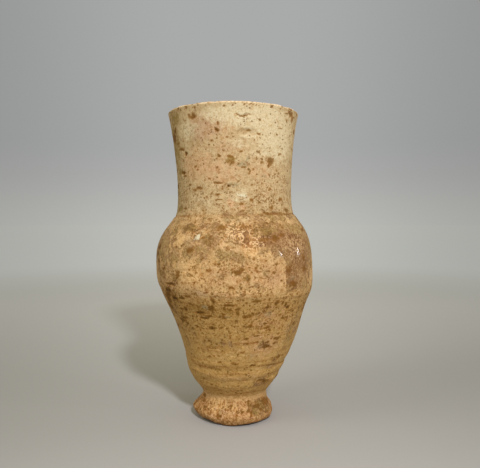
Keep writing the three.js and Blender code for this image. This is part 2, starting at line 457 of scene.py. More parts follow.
LOWER_BODY_STAINS = [
    (-57, 73, 2.6, 1.3, 1.1),
    (-49, 71.6, 2.4, 1.1, 1.15),
    (-41, 72.2, 1.6, 0.8, 0.95),
    (-36, 73.6, 2.2, 0.8, 0.85),
    (-15, 72, 0.9, 1.4, 1.1),
    (-17, 68.4, 1.3, 1.3, 1.05),
    (-28.5, 65, 3.4, 0.6, 1.15),
    (-26, 62.4, 2.8, 0.5, 1.1),
    (-20.5, 63.4, 1.4, 0.7, 0.95),
    (-40, 66.4, 1.5, 1.2, 1.15),
    (-46, 66, 2.2, 0.7, 0.9),
    (-3, 70, 2.3, 0.6, 1.0),
    (-8, 68.2, 0.9, 0.8, 0.85),
    (-9, 64.3, 0.9, 1.5, 0.8),
    (-3.6, 67.6, 1.2, 0.6, 0.8),
    (1.5, 65.6, 1.3, 1.0, 0.95),
    (1.5, 67.6, 1.2, 0.7, 0.85),
    (8, 63.7, 2.0, 0.7, 0.95),
    (11, 64, 0.8, 0.9, 0.85),
    (13, 65.4, 1.1, 0.5, 0.9),
    (15, 72, 2.6, 0.7, 0.85),
    (23.5, 68.5, 1.2, 0.8, 1.0),
    (22, 66, 1.1, 0.7, 0.8),
    (30.5, 70.2, 1.1, 1.5, 0.95),
    (36, 70, 0.8, 1.1, 0.9),
    (39, 69, 0.9, 1.2, 0.95),
    (42, 67.3, 1.5, 0.8, 1.15),
    (40, 61.5, 1.2, 0.8, 1.0),
    (44, 61.1, 1.0, 0.8, 0.95),
    (50, 64.4, 1.3, 0.6, 0.95),
    (36, 63.4, 0.9, 0.5, 0.85),
    (23, 59.4, 1.2, 0.6, 0.9),
    (25, 57, 1.9, 0.6, 0.9),
    (28, 55.4, 1.0, 0.8, 0.9),
    (9.5, 58, 1.6, 0.5, 0.85),
    (-20.5, 57, 1.3, 0.9, 1.05),
    (-8, 57.2, 0.8, 0.7, 1.0),
    (-13, 57.6, 1.2, 0.7, 0.6),
    (56, 56.6, 2.2, 1.0, 1.0),
    (-47, 61, 2.3, 0.7, 1.0),
    (-51, 59.2, 2.6, 1.0, 0.9),
    (-46, 57.6, 1.6, 0.6, 0.95),
    (-33, 69.6, 1.6, 0.7, 0.8),
    (-41, 55.5, 1.0, 0.6, 0.75),
    (18, 52.8, 1.4, 0.4, 0.95),
    (37, 50, 2.0, 0.9, 1.0),
    (25.5, 46.4, 1.9, 1.1, 1.1),
    (27.5, 48.8, 1.1, 0.8, 0.95),
    (35, 47.6, 1.3, 0.7, 0.9),
    (31, 45.6, 1.0, 0.5, 0.8),
    (7.5, 51.3, 1.2, 0.8, 0.85),
    (8, 48.6, 1.8, 0.6, 0.65),
    (4, 43.6, 1.5, 0.9, 0.5),
    (46, 38.6, 2.4, 0.7, 0.8),
    (16.5, 35.7, 1.2, 0.5, 1.2),
    (-3, 37, 1.4, 0.5, 0.75),
    (-28.5, 40.4, 0.8, 0.6, 0.8),
    (-18, 37.6, 1.0, 0.5, 0.8),
    (-35, 42.6, 1.0, 0.6, 0.7),
    (-60, 70, 3.0, 2.0, 0.8),
    (-64, 66, 3.0, 2.2, 0.75),
    (33, 25.6, 1.9, 0.5, 1.1),
    (38, 25.2, 1.4, 0.9, 1.05),
    (44, 24.4, 2.0, 0.7, 0.9),
    (41, 29, 0.9, 0.5, 0.7),
    (-31, 23.2, 0.9, 0.6, 0.7),
    (-72, 16.4, 1.2, 1.4, 1.0),
]
FOOT_STAINS = [
    (12, 7.8, 1.1, 0.8, 0.9),
    (23, 8.2, 0.9, 0.8, 0.85),
    (24.5, 12.6, 1.2, 0.5, 0.9),
    (27, 6.8, 0.8, 1.1, 0.8),
    (36, 9.6, 1.6, 0.9, 0.85),
    (41, 9.3, 1.2, 0.8, 0.9),
    (45, 7.2, 1.5, 0.6, 0.75),
    (60, 9.8, 1.8, 1.6, 0.8),
    (72, 9.4, 2.2, 1.5, 0.95),
    (-23, 5.6, 2.2, 0.9, 0.75),
    (-47, 7.3, 1.3, 0.7, 0.85),
    (-7, 10.6, 0.9, 0.5, 0.85),
    (-21, 11.2, 0.7, 0.4, 0.75),
    (5, 5.8, 0.7, 1.0, 0.6),
    (-68, 12.6, 1.8, 1.2, 0.9),
    (54, 5.2, 1.3, 0.5, 0.7),
]
OLIVE_SPOTS = [
    (-1.8, 143.1, 2.3, 2.2, 1.1),
    (-57, 150.4, 3.5, 1.4, 0.8),
    (-63, 138.4, 4.5, 1.6, 0.9),
    (8.3, 84.0, 2.2, 2.0, 1.1),
    (-36, 108.4, 5.5, 2.4, 0.9),
    (-17.5, 102, 3.6, 2.4, 0.75),
    (23, 107, 4.2, 4.0, 0.8),
    (-62, 84, 3.6, 1.8, 1.0),
    (43, 79.4, 3.6, 1.6, 0.75),
    (-28, 68.2, 5.0, 1.2, 0.8),
    (-6, 66.8, 3.4, 1.8, 0.8),
    (-57, 138, 3.0, 1.0, 0.7),
    (-24, 33.6, 5.0, 1.2, 0.7),
    (-66, 118.5, 4.0, 2.6, 0.8),
    (28, 10.6, 3.0, 2.0, 0.7),
]
OLIVE_ZONES = [
    (-72, 152, 9, 18, 0.7),
    (-62, 167, 6, 4, 0.8),
    (-42, 139, 8, 8, 0.35),
    (-66, 120, 10, 8, 0.4),
    (-56, 72, 12, 5, 0.7),
    (-24, 67, 16, 6, 0.6),
    (24, 66, 12, 6, 0.5),
    (-44, 108, 9, 5, 0.5),
    (20, 109, 5, 4, 0.5),
    (-14, 101, 5, 4, 0.4),
    (12, 54, 16, 8, 0.4),
    (-24, 48, 10, 6, 0.4),
    (2, 31, 16, 4, 0.4),
    (38, 24, 6, 3, 0.5),
    (48, 9, 7, 4, 0.8),
    (150, 150, 30, 18, 0.5),
    (215, 80, 34, 14, 0.7),
    (120, 66, 30, 8, 0.6),
    (180, 60, 26, 10, 0.5),
    (255, 130, 26, 22, 0.6),
]
ASH_AND_SHADE_SPOTS = [
    (6.9, 140.7, 3.2, 1.2, 1.0),
    (12.5, 143.7, 0.9, 1.6, 0.8),
    (10, 158.6, 3.6, 0.8, 0.6),
    (28, 135.2, 1.5, 0.9, 0.8),
    (-22, 68.4, 2.0, 1.5, 0.9),
    (-6, 63.4, 2.6, 1.0, 0.7),
    (24.5, 64.4, 2.6, 1.8, 0.7),
    (42, 82.6, 3.6, 1.5, 0.6),
    (-31, 102.6, 3.5, 2.0, 0.5),
    # Painted shade in the hollow of the neck, above the ledge
    (10, 157.6, 5.5, 1.4, 0.4),
    (14, 41.4, 4.5, 2.6, 0.45),
    (-38, 158, 7.0, 5.0, 0.4),
    (1, 131, 3.6, 1.6, 0.6),
    (-31, 121.4, 3.0, 1.4, 0.5),
]
LIME_SPOTS = [
    (-26.4, 103.8, 1.7, 1.2, 1.1),
    (-29, 102.8, 0.8, 0.8, 0.8),
    (6, 124.9, 2.6, 0.8, 0.75),
    (3, 126.4, 1.4, 0.7, 0.7),
    (9, 125.8, 1.6, 0.5, 0.65),
    (-2, 124.8, 0.5, 1.4, 0.6),
    (8.5, 123.4, 2.0, 0.5, 0.6),
    (-21, 109.4, 0.6, 1.0, 0.4),
    (38, 95.8, 0.5, 0.5, 0.5),
    (19, 52, 1.0, 0.4, 0.4),
    (145, 118, 2.6, 1.6, 0.9),
    (228, 97, 1.8, 2.2, 0.9),
    (196, 133, 2.4, 1.0, 0.8),
]
CREAM_AND_HIGHLIGHT_ZONES = [
    (18, 166, 24, 7, 1.0),
    (42, 156, 18, 15, 0.85),
    (46, 136, 12, 10, 0.3),
    # Painted highlight on the ledge under the hollow of the neck
    (13, 155, 5, 0.8, 1.1),
    (8, 152, 10, 3, 0.6),
    (-6, 166, 14, 5, 0.9),
    (4, 125, 6, 4, 0.6),
    (-30, 122, 9, 4, 0.4),
    (-44, 160, 8, 6, 0.7),
    (2, 112.5, 14, 1.6, 0.4),
    (120, 158, 30, 12, 0.7),
    (205, 160, 24, 10, 0.6),
    (250, 142, 18, 14, 0.45),
    (140, 10, 12, 3, 0.5),
]
PALE_ZONES = [
    (-27, 86, 8, 6.5, 1.0),
    (21, 85.5, 10, 6, 0.35),
    (-46, 100, 8, 6, 0.9),
    (-44, 90, 2.5, 6, 0.6),
    (14, 97, 8, 3.5, 0.8),
    (-2, 103, 6, 4, 0.5),
    (0, 76.5, 20, 2.2, 0.6),
    (-12, 92, 7, 4, 0.5),
    (53, 84, 2.2, 8, 0.7),
    (-48, 88, 3, 6, 0.5),
    (-31, 108, 3, 5, 0.6),
    (-8, 28.5, 16, 0.8, 0.7),
    (-14, 26, 10, 1.2, 0.4),
    (-30, 11, 6, 3.5, 0.9),
    (4, 9.5, 10, 2.5, 0.5),
    (40, 5, 5, 1.6, 0.6),
    (-2, 14.6, 14, 1.6, 0.6),
    (-16, 41, 12, 4, 0.35),
    (26, 33, 6, 2.4, 0.4),
    (160, 88, 14, 8, 0.8),
    (205, 86, 10, 7, 0.6),
    (270, 94, 10, 7, 0.7),
    (110, 84, 8, 8, 0.6),
    (230, 9, 9, 3, 0.7),
    (95, 10, 7, 3, 0.6),
]
PINK_ZONES = [
    (26, 84, 12, 6, 0.8),
    (-2, 84, 10, 7, 0.5),
    (-18, 160, 12, 6, 0.6),
    (-8, 149, 12, 6, 0.5),
    (-16, 137, 14, 7, 0.75),
    (-36, 141, 12, 9, 0.8),
    (24, 138, 12, 8, 0.5),
    (10, 99, 10, 5, 0.6),
    (-3.1, 120.6, 2.2, 2.6, 0.9),
    (6, 118.4, 3.5, 1.6, 0.8),
    (30, 128, 8, 6, 0.4),
    (2, 76, 12, 2.5, 0.6),
    (-8, 29.8, 20, 1.4, 0.4),
    (30, 5, 8, 2, 0.9),
    (-22, 5, 5, 2, 0.8),
    (-50, 116, 5, 2, 0.5),
    (26, 62, 12, 9, 0.6),
    (22, 47, 12, 8, 0.7),
    (16, 29, 9, 4, 0.4),
    (14, 8, 10, 4, 0.7),
    (175, 100, 24, 9, 0.6),
    (240, 60, 20, 9, 0.4),
    (110, 132, 18, 9, 0.5),
]
MAUVE_ZONES = [
    (-28, 160, 10, 7, 0.9),
    (-12, 163, 8, 3.5, 0.6),
    (-8, 150.5, 9, 4, 0.4),
    (-4.5, 95.3, 6, 2.4, 0.8),
    (3, 106, 5, 3, 0.5),
    (-10, 108, 4, 3, 0.6),
    (-24, 8, 7, 4, 0.5),
    (-20, 76, 8, 2, 0.5),
    (52, 56, 8, 8, 0.4),
    (200, 150, 20, 10, 0.6),
    (140, 90, 14, 5, 0.5),
]
WASH_ZONES = [
    (-8, 107, 22, 6, 0.42),
    (-46, 103, 16, 10, 0.22),
    (-26, 99, 8, 7, 0.4),
    (26, 107, 9, 5, 0.55),
    (26, 114.5, 22, 3.2, 0.55),
    (14, 80, 9, 2.5, 0.36),
    (42, 102, 16, 7, 1.0),
    (62, 98, 10, 12, 0.85),
    (56, 107, 10, 4, 0.7),
    (-10, 95, 12, 4, 0.42),
    (-2, 88, 14, 7, 0.24),
    (-52, 84, 8, 9, 0.4),
    (34, 24.5, 6, 2.4, 0.6),
    (40, 33.5, 6, 1.2, 0.6),
    (58, 52, 8, 12, 0.35),
    (-55, 56, 8, 14, 0.35),
    (-14, 49, 8, 2.4, 0.5),
    (26, 47, 5, 3, 0.5),
    (42, 37.4, 3, 1.4, 0.6),
    (50, 8, 9, 4.5, 0.75),
    (24, 86, 8, 7, 0.3),
    (100, 102, 34, 10, 0.75),
    (150, 104, 34, 7, 0.6),
    (200, 100, 30, 10, 0.7),
    (250, 103, 30, 7, 0.6),
    (285, 98, 22, 10, 0.65),
    (130, 84, 6, 9, 0.8),
    (222, 86, 5, 8, 0.8),
    (170, 117, 30, 3, 0.5),
    (120, 30, 18, 4, 0.5),
    (215, 27, 16, 3, 0.5),
]
WASH_PATCHES = [
    (-10.1, 108, 3.2, 2.5, 0.85),
    (7.4, 109, 1.9, 2.6, 0.8),
    (6.5, 102.6, 3.2, 1.8, 0.75),
    (19.6, 108.4, 3.0, 3.0, 0.9),
    (-16.3, 100.3, 3.9, 2.8, 0.85),
    (-4.5, 95.3, 4.6, 2.0, 0.9),
    (-36, 108.5, 4.2, 1.8, 0.8),
    (-31.5, 96.5, 1.4, 1.2, 0.6),
    (3.1, 87.2, 2.6, 1.5, 1.0),
    (30, 103.6, 4.6, 1.5, 0.95),
    (42, 98, 4.0, 2.2, 0.9),
    (-50, 97, 3.6, 3.0, 0.5),
    (176, 96, 4.2, 2.6, 0.9),
    (118, 92, 5.0, 2.4, 0.9),
    (238, 90, 3.6, 2.8, 0.9),
]
LACE_ZONES = [
    (3, 106, 8, 5, 1.0),
    (11, 101.5, 7, 4, 1.0),
    (-30, 106, 4, 6, 0.6),
    (48, 99, 10, 7, 0.5),
    (-6, 99, 5, 2.5, 0.6),
    (140, 103, 10, 7, 0.9),
    (212, 101, 9, 8, 0.9),
    (268, 104, 8, 6, 0.7),
]
RUST_ZONES = [
    (36, 102, 14, 5, 0.9),
    (50, 96, 12, 9, 0.9),
    (42, 84, 5, 9, 0.8),
    (62, 88, 9, 9, 0.5),
    (-31.5, 96.5, 2.4, 1.8, 0.4),
    (3.1, 87.2, 3, 2, 0.5),
    (42, 37.4, 4, 2, 0.9),
    (27, 47, 5, 3, 0.5),
    (-56, 67.5, 6, 1.2, 0.5),
    (36, 118, 10, 2.4, 0.5),
    (40, 30, 8, 2.4, 0.5),
    (130, 100, 30, 7, 0.8),
    (235, 98, 24, 8, 0.6),
]
BURNISHED_ZONES = [
    (32.0, 95.6, 2.6, 2.6, 1.3),
    (48.3, 95.3, 2.2, 2.2, 1.0),
    (160, 100, 16, 5, 0.9),
    (248, 96, 14, 5, 0.9),
]
SPECKLED_ZONES = [
    (-6, 86, 12, 9, 0.45),
    (14, 80, 10, 4, 0.35),
    (-55, 78, 14, 10, 0.3),
    (-4, 104, 14, 8, 0.2),
    (44, 90, 9, 12, 0.2),
    (30, 121, 12, 5, 0.3),
    (150, 84, 20, 10, 0.4),
    (240, 82, 18, 10, 0.4),
]

# The places where the clay itself is broken or pressed in: azimuth, height, half width, half height, depth
DENTS = [
    (-36, 166, 2.0, 1.2, 0.45),
    (-15, 158.5, 1.2, 0.8, 0.4),
    (-50, 147.5, 1.3, 0.9, 0.5),
    (-13.6, 145, 1.0, 0.8, 0.3),
    (33.6, 143.2, 2.3, 1.9, 0.35),
    (-5.7, 130, 0.7, 0.7, 0.7),
    (-16.5, 131.5, 2.0, 0.5, 0.5),
    (-57, 137.6, 2.6, 0.8, 0.5),
    (-34, 129.2, 2.2, 0.9, 0.3),
    (12, 157.2, 6.0, 1.5, 0.35),
    (59, 169, 2.6, 1.2, 0.4),
    (-75, 157.5, 5.0, 2.6, 0.4),
    (-50, 79, 4.4, 0.9, 0.4),
    (71, 99, 1.5, 1.6, 0.6),
    (-28.5, 65, 3.4, 0.6, 0.35),
    (-26, 62.4, 2.8, 0.6, 0.35),
    (42, 67.3, 1.5, 0.8, 0.35),
    (25.5, 46.4, 1.8, 1.0, 0.35),
    (16.5, 35.7, 1.3, 0.6, 0.5),
    (33, 25.6, 2.2, 0.6, 0.4),
    (12, 7.8, 1.3, 1.0, 0.4),
    (24, 8.2, 1.2, 1.0, 0.35),
    (-23, 5.4, 2.6, 1.0, 0.35),
]

# The crack's places: azimuth, height, and how much dirt it holds there
CRACK = [
    (2.7, 166.2, 0.6),
    (4.4, 165.5, 0.6),
    (6.2, 165.1, 1.1),
    (7.6, 165.0, 1.1),
    (10, 165.4, 0.6),
    (13, 166, 0.6),
]

# The stains behind, and the small stains, pits and chips all round, are strewn by seeded draws
draw = random.Random(SEED)
unseen_stains = [
    *scattered(draw, 60, 118, 168, 0.5, 1.9),
    *scattered(draw, 46, 78, 114, 0.6, 2.4),
    *scattered(draw, 120, 50, 77, 0.6, 2.6, flat=0.4),
    *scattered(draw, 36, 18, 50, 0.5, 2.0, flat=0.35),
    *scattered(draw, 18, 3, 12, 0.6, 1.6),
]
small_stains = [
    *scattered(draw, 70, 116, 150, 0.3, 0.7, IN_FRONT, 0.85),
    *scattered(draw, 70, 78, 114, 0.3, 0.9, IN_FRONT, 0.8),
    *scattered(draw, 120, 48, 78, 0.3, 0.8, IN_FRONT, 0.85, 0.5),
    *scattered(draw, 30, 18, 48, 0.3, 0.8, IN_FRONT, 0.8, 0.4),
]
lip_stains = scattered(draw, 90, RIM.height - 1.4, RIM.height + 0.4, 0.25, 0.7, ALL_ROUND)
random_pits = scattered(draw, 240, 4, 170, 0.5, 1.1, ALL_ROUND)
lip_chips = scattered(draw, 34, RIM.height - 0.5, RIM_HEIGHT, 0.6, 2.2, ALL_ROUND)
all_stains = [
    *NECK_STAINS,
    *SHOULDER_STAINS,
    *LOWER_BODY_STAINS,
    *FOOT_STAINS,
    *unseen_stains,
    *small_stains,
    *lip_stains,
]

# Films that are written as zones, and those that only the outside carries
ZONED_FILMS = {
    "cream_and_highlight": CREAM_AND_HIGHLIGHT_ZONES,
    "pale": PALE_ZONES,
    "pink": PINK_ZONES,
    "mauve": MAUVE_ZONES,
    "rust": RUST_ZONES,
    "lace": LACE_ZONES,
    "burnished": BURNISHED_ZONES,
}
OUTER_FILMS = ("wash", "rust", "lace", "stain_and_shadow", "lime", "ash_and_shade", "burnished")


def unevenness(surface):
    """Swellings and hollows all over the outside, and the level ridges of throwing, stronger low down."""
    on_body = between(surface.height, 15, 62, 12)
    out = 0.22 * surface.lumps(30, 11) + 0.1 * surface.lumps(9, 12) + 0.045 * surface.lumps(1.7, 13)
    out += (0.04 + 0.03 * on_body) * surface.level_lumps(2.4, 60, 14)
    return out + (0.012 + 0.018 * on_body) * surface.level_lumps(0.9, 36, 15)


def above_ridge(surface):
    """How far each place is above the ridge between two finger grooves of the cone."""
    return surface.height - RIDGE_HEIGHT - 1.3 * smoothstep(surface.azimuth, -15, -50)


def scored_line(surface):
    """The line that a tool left round the foot of the cone, deeper on the right."""
    line = SCORED_HEIGHT - 1.6 * smoothstep(np.abs(surface.azimuth - 8), 22, 62)
    line += 0.15 * surface.level_lumps(3, 14, 30)
    deep = 0.35 + 0.65 * smoothstep(surface.azimuth, 18, 48)
    deep *= smoothstep(surface.azimuth, -70, -40) * smoothstep(surface.azimuth, 120, 80)
    return surface.outside * deep * smoothstep(np.abs(surface.height - line), 0.62, 0.1)


def outer_grooves(surface):
    """What the fingers left on the cone.

    Grooves climb to the right in one spiral, with a ridge between two of them. The scored line runs above
    them, and the palm pressed a flat on the far left.
    """
    azimuth, height = surface.azimuth, surface.height
    climb = height - GROOVE_PITCH * azimuth / 360
    deep = between(height, 23, 36, 4) * (0.45 - 0.25 * smoothstep(azimuth, -30, -65))
    out = -deep * (0.5 + 0.5 * np.cos(math.tau * (climb - FIRST_GROOVE) / GROOVE_PITCH))
    out += 0.2 * smoothstep(np.abs(above_ridge(surface)), 0.7, 0) * smoothstep(azimuth, 52, 30)
    out -= 0.3 * scored_line(surface)
    return out - 0.45 * bow(height, 26, 50) * smoothstep(np.abs(azimuth + 85), 45, 20)


def seam_height(surface):
    """Where the rib's groove runs, wavering along the collar's seam."""
    return COLLAR_HEIGHT + 0.35 * surface.level_lumps(3, 16, 16)


def rib_groove(surface):
    """How deep the rib was pressed in where the neck is luted to the shoulder."""
    azimuth = surface.azimuth
    deep = 0.28 + 0.12 * smoothstep(azimuth, -15, -45)
    deep += 0.2 * smoothstep(np.cos(np.radians(azimuth - 75)), 0.4, 0.9)
    deep += 0.2 * surface.lumps(7, 17) + 0.2 * smoothstep(np.abs(azimuth), 90, 130)
    return deep * smoothstep(np.abs(surface.height - seam_height(surface)), 0.95, 0.1)


def breakages(surface):
    """How deep the clay is dented, cracked and pitted. Lime stands proud of it."""
    crack = [(azimuth, height, 1.2, 0.3, 1) for azimuth, height, _ in CRACK]
    deep = surface.spots(DENTS, 0.6) + 0.35 * surface.spots(crack, 0.2)
    return deep + 0.3 * surface.spots(random_pits, 0.8) - 0.12 * surface.spots(LIME_SPOTS)


def hand_marks(surface):
    """How far the hand, the wheel and wear move each place outwards, in millimetres."""
    return unevenness(surface) + outer_grooves(surface) - rib_groove(surface) - breakages(surface)


def foot_marks(surface):
    """How far the pinching of the foot moves each place outwards, and how far its edge is lifted."""
    turn = np.radians(surface.azimuth)
    height = surface.height
    low = smoothstep(height, WAIST_HEIGHT, WAIST_HEIGHT - 5) * smoothstep(height, -5, 0)
    pinches = np.sin(BROAD_PINCHES * turn) + np.sin(NARROW_PINCHES * turn)
    folds = surface.lumps(2.6, 21, (1, 1, 3.5))
    out = low * (0.3 * pinches + 0.2 * folds + 0.12 * surface.lumps(1.4, 22) - 0.05)
    edge = smoothstep(surface.radius, 13.5, 18) * smoothstep(height, 7.5, 1.5)
    lifted = 0.55 + 0.4 * surface.level_lumps(9, 9, 23)
    for azimuth, half_width, lift in FOOT_LIFTS:
        lifted += lift * smoothstep(np.abs(surface.across_from(azimuth)), half_width, 1)
    return out, edge * np.clip(lifted, 0, None)


def string_cut(surface):
    """Loops that the string left in the underside when it cut the vase from the wheel."""
    x, y = surface.points[:, 0], surface.points[:, 1]
    loops = np.hypot(x - 26, 0.8 * (y + 4))
    ridges = 0.5 + 0.5 * np.sin(math.tau * loops / 2.3 + 0.8 * surface.lumps(6, 24))
    rough = 0.22 * ridges + 0.06 * (1 + surface.lumps(1.5, 25))
    return surface.underside * rough * smoothstep(surface.radius, 18.2, 15.5)


def finger_grooves(surface):
    """Grooves inside the wall, in one spiral from the floor to the lip."""
    height = surface.height
    climb = height / INSIDE_PITCH - surface.azimuth / 360
    deep = INSIDE_DEPTH * (0.5 + 0.5 * np.cos(math.tau * climb))
    deep *= smoothstep(height, FLOOR_HEIGHT + 1, FLOOR_HEIGHT + 7)
    deep *= smoothstep(height, RIM.height, RIM.height - 6)
    for seam in (CARINATION_HEIGHT, COLLAR_HEIGHT):
        deep *= smoothstep(np.abs(height - (seam - SEAM_DROP)), 0, 4)
    return deep


def drift(height):
    """How far each height stands off the wheel's axis, towards +X."""
    across = FOOT_WANDER * bow(height, 0, DISH_HEIGHT)
    across += LOWER_BODY_WANDER * bow(height, TAPER.height, CARINATION_HEIGHT - SEAM_DROP)
    across += SHOULDER_WANDER * bow(height, CARINATION_HEIGHT, COLLAR_HEIGHT - SEAM_DROP)
    return across + RIM_WANDER * smoothstep(height, COLLAR_HEIGHT, RIM.height)


def lean(height):
    """How much the clay climbs for each step towards +X, as the sections were set on a little askew."""
    at_carination = CARINATION_TILT / 2 / CARINATION.radius
    at_collar = COLLAR_TILT / 2 / COLLAR.radius
    at_rim = LIP_TILT / 2 / RIM.radius
    up_the_body = smoothstep(height, WAIST_HEIGHT, CARINATION_HEIGHT - SEAM_DROP)
    up_the_shoulder = smoothstep(height, CARINATION_HEIGHT, COLLAR_HEIGHT - SEAM_DROP)
    up_the_neck = smoothstep(height, COLLAR_HEIGHT, RIM.height - SEAM_DROP)
    climb = at_carination * up_the_body + (at_collar - at_carination) * up_the_shoulder
    return climb + (at_rim - at_collar) * up_the_neck


def worked_by_hand(mesh, surface):
    """Moves every place of a turned section as the hand and the years did."""
    turn = np.radians(surface.azimuth)
    pinched, lifted = foot_marks(surface)
    uneven_inside = 0.12 * surface.lumps(12, 18) + 0.03 * surface.lumps(2, 19)
    out = surface.outside * (hand_marks(surface) + pinched + 0.05)
    out += surface.inside * (finger_grooves(surface) + uneven_inside)
    on_lip = smoothstep(surface.height, RIM.height - 0.4, RIM_HEIGHT)
    worn = 0.12 * (1 + surface.lumps(7, 26)) + 0.12 * (1 + surface.lumps(2.2, 27))
    chips = 0.3 * surface.spots(lip_chips, 0.8)
    up = surface.raised - on_lip * (worn + chips) + lifted + string_cut(surface)
    radius = surface.radius + out * (surface.radius > 0.5)
    across = radius * np.sin(turn) + drift(surface.height)
    moved = np.stack([across, -radius * np.cos(turn), surface.height + up], axis=1)
    mesh.vertices.foreach_set("co", (moved * MM).ravel())
    mesh.update()


def wash_film(surface):
    """The brown wash, with a curtain of it run down on the right and a thinner one on the left."""
    azimuth, stands = surface.azimuth, surface.stands
    on_the_right = smoothstep(azimuth, 35.5, 38) * smoothstep(azimuth, 70, 50)
    on_the_left = smoothstep(azimuth, -38, -41) * smoothstep(azimuth, -75, -64)
    layers = [
        surface.zones(WASH_ZONES),
        surface.spots(WASH_PATCHES, 1.8, 0.55, 1.4),
        0.95 * on_the_right * between(stands, 79, 96, 6),
        0.42 * on_the_left * between(stands, 80, 98, 6),
    ]
    return np.maximum.reduce(layers) + 0.14 * between(stands, 94, 112, 5)


def lip_top(surface):
    """1 on the top of the lip and 0 below it."""
    return smoothstep(surface.height, RIM_HEIGHT - 1.3, RIM_HEIGHT - 0.7)


def worn_and_highlit_places(surface):
    """Pale wear and painted highlight: on the lip, its outer edge most of all, and the ridge above the
    foot.
    """
    outer_edge = smoothstep(surface.radius, RIM.radius - 2.2, RIM.radius - 1.2)
    worn_lip_and_highlight = lip_top(surface) * (0.4 + 0.55 * outer_edge + 0.4 * surface.lumps(2.4, 29))
    worn_ridge_and_highlight = smoothstep(np.abs(above_ridge(surface)), 0.5, 0.1) * smoothstep(surface.azimuth, 45, 25)
    worn_ridge_and_highlight *= surface.outside * (0.7 + 0.6 * surface.lumps(4, 31))
    return np.maximum(worn_lip_and_highlight, 0.3 * worn_ridge_and_highlight)


def stain_and_shadow_film(surface):
    """Stains, dirt in the collar's seam, scored line and crack, and painted shadow under the foot's edge.
    """
    azimuth, height = surface.azimuth, surface.height
    on_the_right = smoothstep(np.cos(np.radians(azimuth - 70)), 0.5, 0.95)
    on_the_left = smoothstep(azimuth, -20, -50)
    in_seam = smoothstep(np.abs(height - seam_height(surface)), 0.9, 0.1) * surface.outside
    in_seam *= 0.2 + 0.35 * on_the_right + 0.25 * on_the_left + 0.35 * surface.lumps(5, 28)
    in_crack = surface.spots([(a, h, 1.2, 0.28, held) for a, h, held in CRACK], 0.2)
    # Painted contact shadow: a dark line under the foot's edge, where it stands off the table
    under_edge = smoothstep(height + 0.5 * surface.ragged_up, 1.0, 0.2) * smoothstep(surface.radius, 12, 17)
    layers = [surface.spots(all_stains), in_seam, 0.62 * scored_line(surface), in_crack, 1.1 * under_edge]
    return np.maximum.reduce(layers)


def speckling(surface):
    """How thickly specks lie on each place."""
    stands = surface.stands
    speckled = 0.24 + 0.26 * between(stands, 82, 124, 12) + 0.16 * between(stands, 117, 134, 8)
    speckled += 0.6 * between(stands, 58, 74, 9) + 0.7 * between(stands, 2, 10, 4)
    return speckled + 0.5 * lip_top(surface) + surface.zones(SPECKLED_ZONES)


def weathered(mesh, surface):
    """Writes on every place how much of each stain and film it carries, for the clay's material to read."""
    stands = surface.stands
    films = {name: surface.zones(marks) for name, marks in ZONED_FILMS.items()}
    films["buff"] = smoothstep(stands, 109, 119)
    films["ochre"] = smoothstep(stands + 3 * surface.ragged_up, 83, 66) * smoothstep(stands, 13, 18)
    films["scored"] = smoothstep(stands, WAIST_HEIGHT + 3, WAIST_HEIGHT - 4)
    films["banded"] = 0.25 + 0.5 * smoothstep(stands, 74, 58)
    films["wash"] = wash_film(surface)
    films["olive"] = np.maximum(surface.zones(OLIVE_ZONES), surface.spots(OLIVE_SPOTS))
    films["ash_and_shade"] = surface.spots(ASH_AND_SHADE_SPOTS)
    films["lime"] = surface.spots(LIME_SPOTS)
    # Wear, on the lip and the ridge above the foot also a painted highlight
    films["worn"] = worn_and_highlit_places(surface)
    films["speckled"] = speckling(surface)
    films["stain_and_shadow"] = stain_and_shadow_film(surface)
    # Painted shade inside the mouth, strongest just under the rim
    films["hollow"] = surface.inside * smoothstep(surface.height, RIM_HEIGHT, RIM_HEIGHT - 4)
    for name, amount in films.items():
        shown = amount * ~surface.inside if name in OUTER_FILMS else amount
        attribute = mesh.attributes.new(name, "FLOAT", "POINT")
        attribute.data.foreach_set("value", shown.astype(np.float32))


def tone(red, green, blue):
    """A colour as a screen shows it, in bytes, made linear."""
    shares = [c / 255 for c in (red, green, blue)]
    return [*(((c + 0.055) / 1.055) ** 2.4 for c in shares), 1]


# The clay, and what the wheel, wear and the kiln made of it, with a painted highlight on the worn lip and
# ridge, and painted shade in the mouth
SHOULDER_ORANGE = tone(213, 175, 125)
CLOUDED_ORANGE = tone(205, 171, 120)
FOOT_ORANGE = tone(188, 145, 94)
NECK_BUFF = tone(198, 174, 132)
CONE_OCHRE = tone(191, 153, 88)
PINK_CLAY = tone(208, 166, 124)
MAUVE_CLAY = tone(194, 162, 130)
PALE_CLAY = tone(228, 189, 132)
PALE_STREAK = tone(222, 182, 120)
PALE_GRAIN = tone(232, 196, 144)
WORN_CLAY_AND_HIGHLIGHT = tone(242, 218, 180)
# Painted shade inside the mouth
PAINTED_MOUTH_SHADE = tone(138, 106, 66)

# Dyes that darken it
STREAK_DYE = tone(210, 184, 140)
PATCH_DYE = tone(216, 192, 150)
COARSE_GRAIN_DYE = tone(198, 166, 116)
FINE_GRAIN_DYE = tone(206, 178, 138)
STAIN_DYE = tone(222, 192, 144)
OLIVE_DYE = tone(200, 188, 138)
WASH_EDGE_DYE = tone(190, 160, 122)
LACE_DYE = tone(204, 170, 130)

# The wash, and the films and dirt on it, with painted highlight and shade among them
BROWN_WASH = tone(162, 127, 83)
OLIVE_WASH = tone(160, 132, 76)
RUST = tone(128, 86, 42)
LACE_THREAD = tone(226, 190, 142)
CREAM_AND_HIGHLIGHT_FILM = tone(222, 207, 170)
ASH_AND_SHADE_FILM = tone(150, 138, 104)
BROWN_DIRT = tone(134, 84, 18)
DARK_DIRT = tone(108, 72, 8)
OLIVE_DIRT = tone(104, 72, 0)
